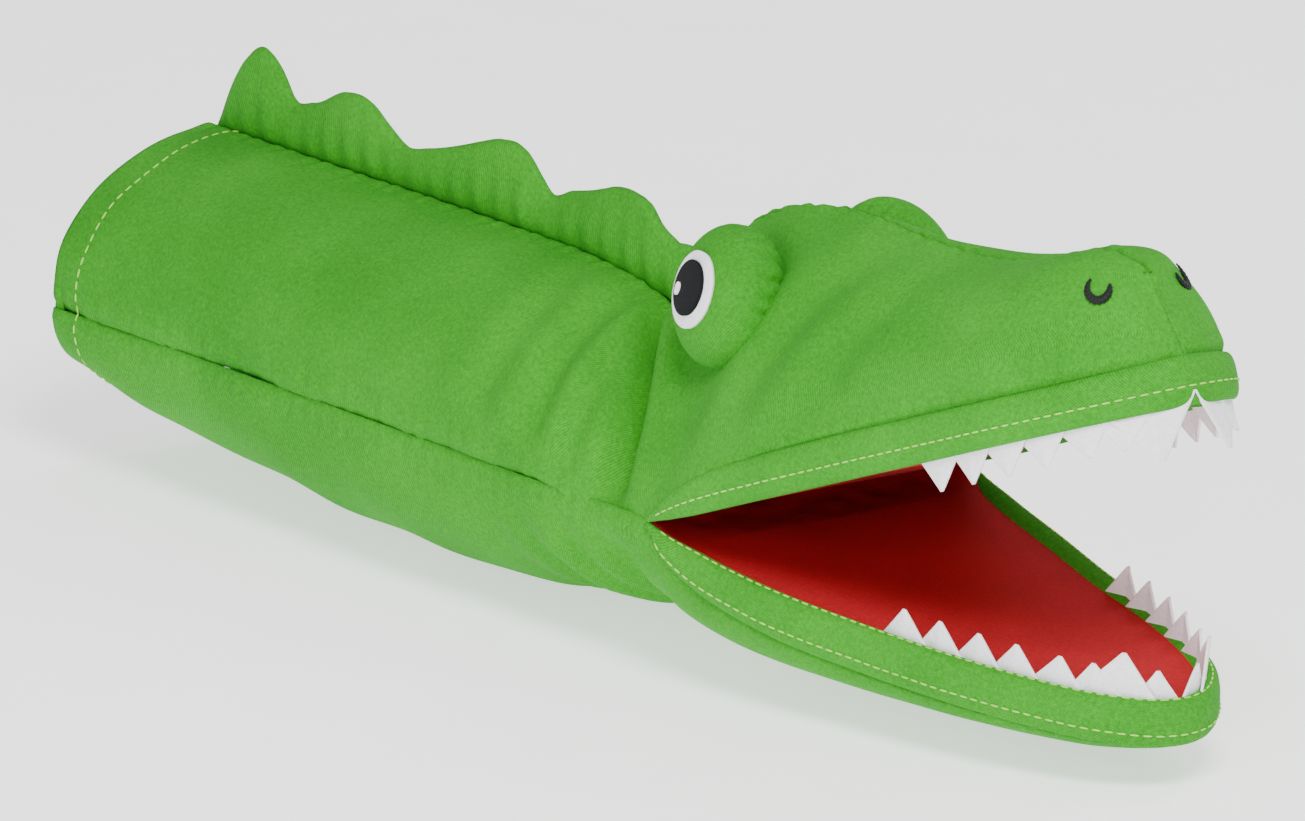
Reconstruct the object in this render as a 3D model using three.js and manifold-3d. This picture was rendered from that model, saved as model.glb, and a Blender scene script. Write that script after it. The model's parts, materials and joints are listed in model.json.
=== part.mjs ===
// Crocodile hand puppet with a moving mouth: cotton shell, lined jaws, cloth teeth, stuffed eyes.
// Millimetres, +Z up, +X towards the snout. The origin is on the ground under the middle.
import * as THREE from 'three';
import { mergeVertices } from 'three/addons/utils/BufferGeometryUtils.js';
import Module from 'manifold-3d';

const wasm = await Module();
wasm.setup();

// Overall sizes
const sleeveLength = 246;
const sleeveHalfWidth = 49;
const sleeveTop = 40;
const bellyDepth = 40;
const headHeight = 68;
const upperJawLength = 165;
const lowerJawLength = 153;
const jawHalfWidth = 47;
const upperJawLift = THREE.MathUtils.degToRad(20);
const lowerJawDrop = THREE.MathUtils.degToRad(6.5);
const lowerJawSet = 4.5;

// Cloth, boards and gaps
const cloth = 1.6;
const lining = 1.2;
const board = 2;
const gap = 0.4;
const seam = 0.4;
const lipHeight = 9;
const hemWidth = 9;
const hingeRadius = 5;
const napeLength = 50;
const throatLength = 30;
const edgeInset = 7;
const waddingRim = 0.6;
const cheekRoom = 2.5;
const headFill = { from: 0.04, to: 0.5, share: 0.83 };
const snoutFill = { from: 0.72, to: 0.86, share: 0.69 };
const chinFill = { from: 0.47, to: 0.7, share: 0.53 };

// Crest
const crestCloth = 1;
const crestFill = 2;
const crestHeight = 22;
const crestFillInset = 2;
const crestLowest = 0.8;

// Teeth
const smallTooth = 9;
const bigTooth = 13;
const toothThickness = 0.8;
const upperTeeth = { from: 0.57, to: 0.96 };
const lowerTeeth = { from: 0.45, to: 0.94 };
const teethPerStrip = 8;
const bigToothFromTip = 3;
const toothValley = 1.5;
const lowerTeethInset = 3;

// Hand pockets
const fingerPocket = { start: 14, length: 98, height: 21, wall: 1.2 };
const thumbPocket = { start: 12, length: 54, halfWidth: 16, height: 15, wall: 1.2 };

// Eyes: centre from the mouth hinge, and the way the face looks
const eyeRadius = 18;
const eyeDepth = 24;
const eyeWhiteRadius = 10;
const pupilRadius = 7;
const glintRadius = 1.2;
const eyeDisc = 0.7;
const pupilShift = [1.2, 1];
const glintShift = [3.2, 3];
const eyeForward = 3;
const eyeSide = 24;
const eyeHeight = 53;
const eyeLook = new THREE.Vector3(-0.17, -0.94, 0.29).normalize();

// Nostrils: shares along and up the side of the head, and how far the stitches stand out
const nostril = { along: 0.88, length: 0.035, up: 0.6, height: 0.1, thickness: 0.6 };

const colours = {
  green: { color: '#4aa62f', roughness: 0.95, metalness: 0 },
  red: { color: '#b0161b', roughness: 0.95, metalness: 0 },
  white: { color: '#f2f0f4', roughness: 0.9, metalness: 0 },
  black: { color: '#15161a', roughness: 0.8, metalness: 0 },
  wadding: { color: '#e8e6df', roughness: 1, metalness: 0 },
  card: { color: '#b59a6d', roughness: 0.9, metalness: 0 },
};

const puppet = new THREE.Group();
const sleeve = new THREE.Group();
const upperJaw = new THREE.Group();
const lowerJaw = new THREE.Group();
puppet.add(sleeve, upperJaw, lowerJaw);
upperJaw.rotation.y = -upperJawLift;
lowerJaw.rotation.y = lowerJawDrop;
lowerJaw.position.z = -lowerJawSet;

function addPiece(group, name, geometry, colour) {
  const piece = new THREE.Mesh(geometry, new THREE.MeshStandardMaterial(colours[colour]));
  piece.name = name;
  group.add(piece);
  return piece;
}

// A smooth curve through [along, across] points, as a function of 0 to 1
function outline(points) {
  const curve = new THREE.SplineCurve(points.map(([a, b]) => new THREE.Vector2(a, b)));
  return (t) => curve.getPoint(t);
}

// Turns a list of triangles' corners round if the solid they close is inside out
function facingOut(positions, triangles) {
  const corner = (i) => new THREE.Vector3().fromArray(positions, i * 3);
  let volume = 0;
  for (let i = 0; i < triangles.length; i += 3) {
    const [a, b, c] = [0, 1, 2].map((k) => corner(triangles[i + k]));
    volume += a.dot(b.cross(c));
  }
  if (volume < 0) triangles.reverse();
  const geometry = new THREE.BufferGeometry();
  geometry.setAttribute('position', new THREE.Float32BufferAttribute(positions, 3));
  geometry.setIndex(triangles);
  return geometry;
}

// A closed solid between two grids of points, front(u, v) and back(u, v), with walls round the rim
function solidBetween(front, back, nu, nv) {
  const positions = [];
  const triangles = [];
  for (const side of [front, back]) {
    for (let i = 0; i <= nu; i += 1) {
      for (let j = 0; j <= nv; j += 1) positions.push(...side(i / nu, j / nv).toArray());
    }
  }
  const layer = (nu + 1) * (nv + 1);
  const at = (side, i, j) => side * layer + i * (nv + 1) + j;
  const quad = (a, b, c, d) => triangles.push(a, b, c, a, c, d);
  for (let i = 0; i < nu; i += 1) {
    for (let j = 0; j < nv; j += 1) {
      quad(at(0, i, j), at(0, i + 1, j), at(0, i + 1, j + 1), at(0, i, j + 1));
      quad(at(1, i, j), at(1, i, j + 1), at(1, i + 1, j + 1), at(1, i + 1, j));
    }
  }
  for (let i = 0; i < nu; i += 1) {
    quad(at(1, i, 0), at(1, i + 1, 0), at(0, i + 1, 0), at(0, i, 0));
    quad(at(0, i, nv), at(0, i + 1, nv), at(1, i + 1, nv), at(1, i, nv));
  }
  for (let j = 0; j < nv; j += 1) {
    quad(at(0, 0, j), at(0, 0, j + 1), at(1, 0, j + 1), at(1, 0, j));
    quad(at(1, nu, j), at(1, nu, j + 1), at(0, nu, j + 1), at(0, nu, j));
  }
  return facingOut(positions, triangles);
}

// The same surface moved inwards along its own normal
function inset(surface, depth) {
  const step = 1e-3;
  return (u, v) => {
    const along = surface(Math.min(u + step, 1), v).sub(surface(Math.max(u - step, 0), v));
    const across = surface(u, Math.min(v + step, 1)).sub(surface(u, Math.max(v - step, 0)));
    return surface(u, v).addScaledVector(along.cross(across).normalize(), -depth);
  };
}

// Keeps a right-hand surface on its own side of the centre plane
function onRight(surface, clearance = seam / 2) {
  return (u, v) => {
    const point = surface(u, v);
    point.y = Math.min(point.y, -clearance);
    return point;
  };
}

// The left-hand copy of a right-hand geometry
function mirrored(geometry) {
  const source = geometry.toNonIndexed();
  const positions = Array.from(source.attributes.position.array);
  for (let i = 1; i < positions.length; i += 3) positions[i] = -positions[i];
  const triangles = positions.slice(0, positions.length / 3).map((_, i) => i);
  return mergeVertices(facingOut(positions, triangles), 1e-4);
}

function addPair(group, name, geometry, colour) {
  addPiece(group, `right_${name}`, geometry, colour);
  addPiece(group, `left_${name}`, mirrored(geometry), colour);
}

// Sleeve: half-width, top and belly as shares of their sizes, from the cuff to the nape
const sleeveShape = {
  width: outline([[0, 1.02], [0.3, 1], [0.7, 1], [1, 0.98]]),
  top: outline([[0, 0.98], [0.4, 1.0], [0.72, 1.01], [0.86, 0.95], [1, 0.86]]),
  belly: outline([[0, 0.65], [0.11, 0.79], [0.34, 0.9], [0.67, 1.0], [0.78, 0.97], [0.89, 0.85], [1, 0.75]]),
};
const sectionPower = 0.85;

function sleeveArch(u, v, length) {
  const angle = v * Math.PI / 2;
  const width = sleeveHalfWidth * sleeveShape.width(u).y;
  const height = sleeveTop * sleeveShape.top(u).y - seam / 2;
  const y = -width * Math.cos(angle) ** sectionPower;
  const z = seam / 2 + height * Math.sin(angle) ** sectionPower;
  return new THREE.Vector3(-sleeveLength + u * length, y, z);
}

function sleeveBelly(u, v, length) {
  const angle = v * Math.PI;
  const width = sleeveHalfWidth * sleeveShape.width(u).y;
  const depth = bellyDepth * sleeveShape.belly(u).y - seam / 2;
  const y = width * Math.sign(Math.cos(angle)) * Math.abs(Math.cos(angle)) ** sectionPower;
  const z = -seam / 2 - depth * Math.sin(angle) ** sectionPower;
  return new THREE.Vector3(-sleeveLength + u * length, y, z);
}

const archLength = sleeveLength - napeLength;
const bellyLength = sleeveLength - throatLength;
const arch = (u, v) => sleeveArch(u, v, archLength);
const belly = (u, v) => sleeveBelly(u, v, bellyLength);

function addSleeve() {
  const archInside = (u, v) => {
    const point = inset(arch, cloth)(u, v);
    point.z = Math.max(point.z, seam / 2);
    return point;
  };
  const bellyInside = (u, v) => {
    const point = inset(belly, cloth)(u, v);
    point.z = Math.min(point.z, -seam / 2);
    return point;
  };
  addPair(sleeve, 'sleeve_panel', solidBetween(onRight(arch), onRight(archInside), 14, 8), 'green');
  addPiece(sleeve, 'belly_panel', solidBetween(belly, bellyInside, 12, 14), 'green');
}

// Hem: the cuff's edge folded inside, one strip on the arch and one on the belly
function addHem() {
  const share = hemWidth / archLength;
  const foldOut = cloth + gap;
  const foldIn = foldOut + lining;
  const strip = (surface, depth, low, high) => (u, v) => {
    const point = inset(surface, depth)(u * share, v);
    point.z = Math.min(Math.max(point.z, low), high);
    return point;
  };
  const archStrip = (depth) => onRight(strip(arch, depth, seam / 2, Infinity));
  addPair(sleeve, 'cuff_hem', solidBetween(archStrip(foldOut), archStrip(foldIn), 1, 8), 'green');
  const bellyStrip = (depth) => strip(belly, depth, -Infinity, -seam / 2);
  addPiece(sleeve, 'belly_hem', solidBetween(bellyStrip(foldOut), bellyStrip(foldIn), 1, 14), 'green');
}

// Crest: heights above the top seam, as shares of the sleeve's length and of the tallest point
const crestEdge = outline([
  [0.004, 0.04], [0.02, 0.4], [0.052, 0.88], [0.075, 1], [0.098, 0.84], [0.12, 0.55],
  [0.16, 0.56], [0.22, 0.82], [0.265, 0.82], [0.295, 0.64], [0.33, 0.46],
  [0.37, 0.52], [0.43, 0.7], [0.452, 0.78], [0.486, 0.88], [0.52, 0.85], [0.545, 0.6], [0.56, 0.46],
  [0.6, 0.56], [0.652, 0.72], [0.677, 0.84], [0.719, 0.92], [0.738, 0.9], [0.765, 0.72],
]);

function addCrest() {
  const steps = 60;
  const topSeam = (x) => arch((x + sleeveLength) / archLength, 1).z;
  const layer = (inner, thickness, trim) => {
    const shape = new THREE.Shape();
    const rise = [];
    for (let i = 0; i <= steps; i += 1) {
      const { x: share, y: height } = crestEdge(i / steps);
      const x = -sleeveLength + trim + share * (sleeveLength - 2 * trim);
      const base = topSeam(x) + gap;
      rise.push([x, base, base + Math.max(height * crestHeight - trim, crestLowest)]);
    }
    shape.moveTo(rise[0][0], rise[0][2]);
    rise.slice(1).forEach(([x, , top]) => shape.lineTo(x, top));
    rise.reverse().forEach(([x, base]) => shape.lineTo(x, base));
    const geometry = new THREE.ExtrudeGeometry(shape, { depth: thickness, bevelEnabled: false });
    geometry.rotateX(Math.PI / 2);
    geometry.translate(0, inner + thickness, 0);
    return geometry;
  };
  const outer = crestFill / 2 + gap;
  addPiece(sleeve, 'crest_wadding', layer(-crestFill / 2, crestFill, crestFillInset), 'wadding');
  addPiece(sleeve, 'crest_right_layer', layer(-outer - crestCloth, crestCloth, 0), 'green');
  addPiece(sleeve, 'crest_left_layer', layer(outer, crestCloth, 0), 'green');
}

// Jaws, each in its own frame: +X along the jaw from the hinge, Z = 0 on the lips' edge.
// Lip outlines are shares of the jaw's length and half-width.
const upperLip = outline([
  [0.05, 1], [0.2, 0.99], [0.4, 0.89], [0.6, 0.78], [0.78, 0.69], [0.9, 0.56], [0.975, 0.33], [1, 0],
]);
const lowerLip = outline([
  [0.04, 1], [0.2, 0.95], [0.4, 0.84], [0.6, 0.73], [0.78, 0.64], [0.9, 0.51], [0.975, 0.3], [1, 0],
]);

// Profiles along the centre, at the same steps as the lips: share of jaw length, share of height
const headRidge = outline([
  [-0.03, 0.93], [0.1, 1.0], [0.3, 0.89], [0.46, 0.73],
  [0.65, 0.63], [0.84, 0.6], [0.92, 0.55], [0.95, 0.48],
]);
const chinKeel = outline([
  [-0.01, 0.69], [0.18, 0.67], [0.38, 0.58], [0.58, 0.49],
  [0.75, 0.41], [0.88, 0.34], [0.95, 0.29], [0.97, 0.27],
]);

function lipPoint(lip, length, t, shrink = 0) {
  const share = lip(t);
  const ahead = lip(Math.min(t + 1e-3, 1));
  const behind = lip(Math.max(t - 1e-3, 0));
  const dx = (ahead.x - behind.x) * length;
  const dy = -(ahead.y - behind.y) * jawHalfWidth;
  const run = Math.hypot(dx, dy);
  const x = share.x * length - shrink * dy / run;
  const y = -share.y * jawHalfWidth + shrink * dx / run;
  return [x - 2 * shrink * Math.max(-dy / run, 0), Math.min(y, 0)];
}

// Head side: from the lip seam up to the ridge, flatter behind the eyes and rounder at the snout
const headPower = { back: 1.95, fall: 1.2, least: 0.8 };

function headSide(u, v) {
  const [x, y] = lipPoint(upperLip, upperJawLength, u);
  const ridge = headRidge(u);
  const base = lipHeight + gap;
  const power = Math.max(headPower.back - headPower.fall * u, headPower.least);
  const angle = v * Math.PI / 2;
  const rise = Math.sin(angle) ** power;
  const lean = 1 - Math.cos(angle) ** power;
  const top = headHeight * ridge.y;
  const along = x + (ridge.x * upperJawLength - x) * rise;
  return new THREE.Vector3(along, y * (1 - lean), base + (top - base) * rise);
}

// Chin: from the left lip seam round under the keel to the right one
const chinPower = { rise: 0.8, lean: 0.9 };

function chinSide(u, v) {
  const [x, y] = lipPoint(lowerLip, lowerJawLength, u);
  const keel = chinKeel(u);
  const base = lipHeight + gap;
  const angle = v * Math.PI / 2;
  const rise = Math.sin(angle) ** chinPower.rise;
  const bottom = Math.max(bellyDepth * keel.y, base + 1);
  const along = x + (keel.x * lowerJawLength - x) * rise;
  return new THREE.Vector3(along, y * Math.cos(angle) ** chinPower.lean, -base - (bottom - base) * rise);
}

// The surface moved inwards, kept past the lip seam and in front of the jaw's back edge
function insideJaw(surface, depth, sign) {
  return (u, v) => {
    const outside = surface(u, v);
    const point = inset(surface, depth)(u, v);
    point.z = sign * Math.max(sign * point.z, lipHeight + gap);
    if (u === 0) point.x = outside.x;
    return point;
  };
}

function addHead() {
  const inside = onRight(insideJaw(headSide, cloth, 1));
  addPair(upperJaw, 'head_panel', solidBetween(onRight(headSide), inside, 18, 8), 'green');
}

function addChin() {
  const inside = onRight(insideJaw(chinSide, -cloth, -1));
  addPair(lowerJaw, 'chin_panel', solidBetween(onRight(chinSide), inside, 16, 7), 'green');
}

// Folds of cloth that bend when a jaw moves, from the sleeve's front edge to the jaw's back edge
function jawPoint(point, angle) {
  return point.applyAxisAngle(new THREE.Vector3(0, 1, 0), angle);
}

function addFolds() {
  const between = (start, end, u) => start.clone().lerp(end, u);
  const share = gap / napeLength;
  const nape = (depth) => onRight((u, v) => {
    const start = inset(arch, depth)(1, v);
    const end = jawPoint(insideJaw(headSide, depth, 1)(0, v), -upperJawLift);
    return between(start, end, share + u * (1 - 2 * share));
  });
  addPair(puppet, 'nape_fold', solidBetween(nape(0), nape(cloth), 4, 8), 'green');
  const throat = (depth) => onRight((u, v) => {
    const start = inset(belly, depth)(1, 1 - v / 2);
    const end = jawPoint(insideJaw(chinSide, -depth, -1)(0, v), lowerJawDrop);
    end.z -= lowerJawSet;
    return between(start, end, 2 * share + u * (1 - 4 * share));
  });
  addPair(puppet, 'throat_fold', solidBetween(throat(0), throat(cloth), 3, 7), 'green');
}

// Lip bands: cloth bound round the edge of each jaw
function addLipBand(group, name, lip, length, sign) {
  const face = (depth) => onRight((u, v) => {
    const [x, y] = lipPoint(lip, length, u, depth);
    return new THREE.Vector3(x, y, sign * v * lipHeight);
  });
  addPair(group, name, solidBetween(face(0), face(cloth), 18, 1), 'green');
}

// A flat sheet inside a lip outline, between two heights: linings and boards
const sheetReach = 0.985;

function sheetInLip(lip, length, shrink, low, high, back) {
  const plate = (height) => (u, v) => {
    const [x, y] = lipPoint(lip, length, u * sheetReach, shrink);
    return new THREE.Vector3(Math.max(x, back), y * (1 - 2 * v), height);
  };
  return solidBetween(plate(low), plate(high), 18, 2);
}

function addLinings(group, names, lip, length, sign) {
  const back = hingeRadius + 2 * gap;
  const inner = cloth + gap;
  const boardLow = sign * (lining + 2 * gap);
  const liningSheet = sheetInLip(lip, length, inner, sign * gap, sign * (lining + gap), back);
  addPiece(group, names.lining, liningSheet, 'red');
  const boardSheet = sheetInLip(lip, length, edgeInset, boardLow, boardLow + sign * board, back);
  addPiece(group, names.board, boardSheet, 'card');
}

// Teeth: a strip of cloth points sewn along each side of a jaw, with one long tooth near the front
function addTeeth(group, name, lip, length, sign, shrink, { from, to }) {
  const steps = teethPerStrip * 2;
  const reach = (i) => {
    if (i % 2 === 0) return toothValley;
    return i === steps - bigToothFromTip ? bigTooth : smallTooth;
  };
  const strip = (depth) => (u, v) => {
    const i = Math.round(u * steps);
    const t = from + u * (to - from);
    const [x, y] = lipPoint(lip, length, t, shrink + depth);
    return new THREE.Vector3(x, y, -sign * (gap + v * (reach(i) + gap)));
  };
  addPair(group, name, solidBetween(strip(0), strip(toothThickness), steps, 1), 'white');
}

// How often a search halves its range
const halvings = 24;

// Where along v a jaw's surface passes a given height inside it
function crossing(surface, u, floor, sign) {
  let low = 0;
  let high = 1;
  for (let i = 0; i < halvings; i += 1) {
    const middle = (low + high) / 2;
    if (sign * surface(u, middle).z < floor) low = middle;
    else high = middle;
  }
  return high;
}

// Half-width of a jaw's surface at a distance along the jaw and a height inside it
function halfWidthAt(surface, x, z, sign) {
  let low = 0;
  let high = 1;
  let point = surface(0, 0);
  for (let i = 0; i < halvings; i += 1) {
    const middle = (low + high) / 2;
    point = surface(middle, crossing(surface, middle, z, sign));
    if (point.x < x) low = middle;
    else high = middle;
  }
  return Math.abs(point.y);
}

// The widest that a rounded pocket can be and keep its room to the cheeks at its front end
function widestPocket({ start, length, height }, surface, base, sign) {
  const radius = height / 2;
  let widest = Infinity;
  for (let level = 0; level <= height; level += height / 12) {
    const rounding = radius - Math.sqrt(Math.max(radius ** 2 - (level - radius) ** 2, 0));
    const cheek = halfWidthAt(surface, start + length, base + level, sign);
    widest = Math.min(widest, cheek + rounding);
  }
  return widest - cloth - cheekRoom;
}

// A flat pocket with rounded sides, open towards the sleeve
function pocketGeometry({ start, length, halfWidth, height, wall }, base, sign) {
  const block = (inner, from, to) => {
    const shape = new THREE.Shape();
    const radius = height / 2 - inner;
    const middle = halfWidth - height / 2;
    shape.absarc(middle, 0, radius, -Math.PI / 2, Math.PI / 2, false);
    shape.absarc(-middle, 0, radius, Math.PI / 2, 1.5 * Math.PI, false);
    const options = { depth: to - from, bevelEnabled: false, curveSegments: 6 };
    const solid = new THREE.ExtrudeGeometry(shape, options);
    solid.rotateX(Math.PI / 2);
    solid.rotateZ(Math.PI / 2);
    solid.translate(from, 0, sign * (base + height / 2));
    return toManifold(solid);
  };
  const outer = block(0, start, start + length);
  const hollow = block(wall, start - 1, start + length - wall);
  return fromManifold(outer.subtract(hollow));
}

function toManifold(geometry) {
  const merged = mergeVertices(bare(geometry), 1e-4);
  const vertProperties = Float32Array.from(merged.attributes.position.array);
  const triVerts = Uint32Array.from(merged.index.array);
  return new wasm.Manifold(new wasm.Mesh({ numProp: 3, vertProperties, triVerts }));
}

function fromManifold(solid) {
  const mesh = solid.getMesh();
  const geometry = new THREE.BufferGeometry();
  geometry.setAttribute('position', new THREE.BufferAttribute(mesh.vertProperties, 3));
  geometry.setIndex(new THREE.BufferAttribute(mesh.triVerts, 1));
  return geometry;
}

// Height inside a jaw where a hand pocket starts: past the lining and the board
const pocketBase = lining + board + 3 * gap;

function addPockets() {
  const halfWidth = widestPocket(fingerPocket, headSide, pocketBase, 1);
  const fingers = pocketGeometry({ ...fingerPocket, halfWidth }, pocketBase, 1);
  addPiece(upperJaw, 'finger_pocket', fingers, 'wadding');
  addPiece(lowerJaw, 'thumb_pocket', pocketGeometry(thumbPocket, pocketBase, -1), 'wadding');
}

// Wadding: the room between a flat floor and the inside of the cloth, filled to a share
function waddingGeometry(surface, { from, to, share }, floor, sign) {
  const crown = (u, v) => {
    const along = from + u * (to - from);
    const start = crossing(surface, along, floor, sign);
    const widest = Math.abs(surface(along, start).y);
    const highest = sign * surface(along, 1).z - floor;
    const climb = 1 - Math.abs(2 * v - 1);
    const point = surface(along, start + (1 - start) * climb);
    point.y *= share * (1 - cloth / widest) * Math.sign(1 - 2 * v);
    if (climb === 1) point.y = 0;
    const rise = (sign * point.z - floor) * share * (1 - cloth / highest);
    point.z = sign * (floor + rise + waddingRim);
    return point;
  };
  const flat = (u, v) => crown(u, v).setZ(sign * floor);
  return solidBetween(crown, flat, 8, 10);
}

function addWadding() {
  const aboveFingers = pocketBase + fingerPocket.height + gap;
  const aboveLips = lipHeight + 2 * gap;
  addPiece(upperJaw, 'head_wadding', waddingGeometry(headSide, headFill, aboveFingers, 1), 'wadding');
  addPiece(upperJaw, 'snout_wadding', waddingGeometry(headSide, snoutFill, aboveLips, 1), 'wadding');
  addPiece(lowerJaw, 'chin_wadding', waddingGeometry(chinSide, chinFill, aboveLips, -1), 'wadding');
}

// The red cloth that folds round the mouth's hinge
const foldHalfTurn = 1.2;

function addHingeFold() {
  const halfLength = jawHalfWidth - cloth - gap;
  const roll = (radius) => (u, v) => {
    const angle = foldHalfTurn * (2 * v - 1);
    const y = -halfLength + 2 * halfLength * u;
    return new THREE.Vector3(radius * Math.cos(angle), y, radius * Math.sin(angle));
  };
  const fold = solidBetween(roll(hingeRadius), roll(hingeRadius - lining), 1, 8);
  addPiece(sleeve, 'mouth_hinge_fold', fold, 'red');
}

// The room that the right side of the head takes up, which the eye is pressed against
function headBlock() {
  const skin = inset(headSide, -gap);
  const core = (u, v) => skin(u, v).setY(cloth);
  return toManifold(solidBetween(skin, core, 18, 8));
}

// Eyes: a cover gathered round wadding, with a white disc, a pupil and a glint sewn to its face
function addEyes() {
  const half = eyeDepth / 2;
  const domePower = 0.62;
  const domeTurn = 0.86;
  const domeSteps = 9;
  const sides = 18;
  const profile = (radius, depth) => {
    const points = [];
    for (let i = 0; i <= domeSteps; i += 1) {
      const angle = Math.PI / 2 - (i / domeSteps) * Math.PI * domeTurn;
      const out = radius * Math.cos(angle) ** domePower;
      points.push(new THREE.Vector2(i === 0 ? 0 : out, depth * Math.sin(angle)));
    }
    return points;
  };
  const outer = profile(eyeRadius, half);
  const inner = profile(eyeRadius - cloth, half - cloth);
  const cover = new THREE.LatheGeometry([...outer, ...inner.reverse()], sides);
  const fillPoints = profile(eyeRadius - cloth - gap, half - cloth - gap);
  const last = fillPoints[fillPoints.length - 1];
  const fill = new THREE.LatheGeometry([...fillPoints, new THREE.Vector2(0, last.y)], sides);
  const disc = (radius, level) => {
    const solid = new THREE.CylinderGeometry(radius, radius, eyeDisc, 28);
    solid.translate(0, half + gap + eyeDisc / 2 + level * (eyeDisc + gap), 0);
    return solid;
  };
  const pupil = disc(pupilRadius, 1);
  pupil.translate(pupilShift[0], 0, pupilShift[1]);
  const glint = disc(glintRadius, 2);
  glint.translate(glintShift[0], 0, glintShift[1]);
  const turn = new THREE.Quaternion().setFromUnitVectors(new THREE.Vector3(0, 1, 0), eyeLook);
  const place = (solid) => {
    const merged = mergeVertices(bare(solid), 1e-4);
    const { position } = merged.attributes;
    const cleaned = facingOut(Array.from(position.array), Array.from(merged.index.array));
    cleaned.applyQuaternion(turn);
    cleaned.translate(eyeForward, -eyeSide, eyeHeight);
    cleaned.rotateY(upperJawLift);
    return cleaned;
  };
  const pressed = (solid) => fromManifold(toManifold(place(solid)).subtract(headBlock()));
  addPair(upperJaw, 'eye_cover', pressed(cover), 'green');
  addPair(upperJaw, 'eye_wadding', pressed(fill), 'wadding');
  addPair(upperJaw, 'eye_white', place(disc(eyeWhiteRadius, 0)), 'white');
  addPair(upperJaw, 'pupil', place(pupil), 'black');
  addPair(upperJaw, 'eye_glint', place(glint), 'white');
}

function bare(geometry) {
  const plain = geometry.clone();
  plain.deleteAttribute('normal');
  plain.deleteAttribute('uv');
  return plain;
}

// Nostrils: a small stitched crescent on each side of the snout
function addNostrils() {
  const patch = (depth) => (u, v) => {
    const along = nostril.along + nostril.length * u;
    return inset(headSide, depth)(along, nostril.up + nostril.height * v);
  };
  const outer = patch(-gap - nostril.thickness);
  addPair(upperJaw, 'nostril', solidBetween(outer, patch(-gap), 2, 2), 'black');
}

addSleeve();
addHem();
addCrest();
addHead();
addChin();
addFolds();
addLipBand(upperJaw, 'upper_lip_band', upperLip, upperJawLength, 1);
addLipBand(lowerJaw, 'lower_lip_band', lowerLip, lowerJawLength, -1);
addLinings(upperJaw, { lining: 'palate_lining', board: 'upper_board' }, upperLip, upperJawLength, 1);
addLinings(lowerJaw, { lining: 'floor_lining', board: 'lower_board' }, lowerLip, lowerJawLength, -1);
addTeeth(upperJaw, 'upper_teeth', upperLip, upperJawLength, 1, cloth, upperTeeth);
addTeeth(lowerJaw, 'lower_teeth', lowerLip, lowerJawLength, -1, cloth + lowerTeethInset, lowerTeeth);
addPockets();
addWadding();
addHingeFold();
addEyes();
addNostrils();

// Stand the puppet on the ground with the origin under its middle
puppet.updateMatrixWorld(true);
const bounds = new THREE.Box3().setFromObject(puppet, true);
const middle = bounds.getCenter(new THREE.Vector3());
puppet.position.set(-middle.x, 0, -bounds.min.z);
puppet.updateMatrixWorld(true);

export default puppet;
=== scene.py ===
# Crocodile hand puppet: the looks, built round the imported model. Metres, +Z up, +X towards the snout.
import bpy
import bmesh
import json
import math
import numpy as np
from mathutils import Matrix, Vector


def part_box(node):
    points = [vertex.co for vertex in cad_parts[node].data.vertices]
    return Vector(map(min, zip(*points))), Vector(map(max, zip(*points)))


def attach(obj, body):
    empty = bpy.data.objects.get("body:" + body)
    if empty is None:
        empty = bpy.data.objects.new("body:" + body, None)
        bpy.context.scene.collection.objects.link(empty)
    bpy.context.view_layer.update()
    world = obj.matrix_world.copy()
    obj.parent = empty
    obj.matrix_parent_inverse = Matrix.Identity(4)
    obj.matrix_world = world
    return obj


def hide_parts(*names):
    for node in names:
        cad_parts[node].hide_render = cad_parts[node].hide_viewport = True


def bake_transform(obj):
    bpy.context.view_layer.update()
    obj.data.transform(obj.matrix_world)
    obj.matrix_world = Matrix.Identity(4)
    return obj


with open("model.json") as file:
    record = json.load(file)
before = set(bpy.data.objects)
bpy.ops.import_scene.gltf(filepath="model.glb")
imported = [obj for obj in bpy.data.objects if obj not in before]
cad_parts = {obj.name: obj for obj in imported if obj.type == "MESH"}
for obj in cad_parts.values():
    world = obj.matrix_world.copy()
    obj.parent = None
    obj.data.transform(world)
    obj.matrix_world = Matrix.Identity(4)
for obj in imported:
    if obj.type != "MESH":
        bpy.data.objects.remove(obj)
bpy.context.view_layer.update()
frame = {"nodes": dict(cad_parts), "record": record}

mm = 0.001
joints = frame["record"]["behaviour"]["joints"]
hinge = np.array(joints[0]["pos_m"])


def smoothCurve(points):
    # Cubic Hermite through (x, y) points, with slopes from the neighbours
    x, y = np.array(points, float).T
    slope = np.gradient(y, x)

    def value(q):
        # Between neighbours at t = 0 and t = 1: the two heights and the two slopes, each with its own cubic
        q = np.clip(q, x[0], x[-1])
        i = np.clip(np.searchsorted(x, q) - 1, 0, len(x) - 2)
        h = x[i + 1] - x[i]
        t = (q - x[i]) / h
        a, b = 2 * t**3 - 3 * t**2 + 1, t**3 - 2 * t**2 + t
        return a * y[i] + b * h * slope[i] + (1 - a) * y[i + 1] + (t**3 - t**2) * h * slope[i + 1]

    return value


def bump(x, centre, width):
    # Bell curve, 1 at centre
    return np.exp(-(((x - centre) / width) ** 2))


def ease(x, low, high):
    # 0 below low, 1 above high, smooth between
    t = np.clip((x - low) / (high - low), 0, 1)
    return t * t * (3 - 2 * t)


def ripples(a, b, seed, count=7, longest=60, shortest=16):
    # Sum of sines in random directions over two lengths in mm, about -1 to 1
    rng = np.random.default_rng(seed)
    total = 0 * (a + b)
    for _ in range(count):
        length = rng.uniform(shortest, longest)
        turn, phase = rng.uniform(0, math.pi), rng.uniform(0, 2 * math.pi)
        total = total + np.sin(2 * math.pi * (a * math.cos(turn) + b * math.sin(turn)) / length + phase)
    return total / count


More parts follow.
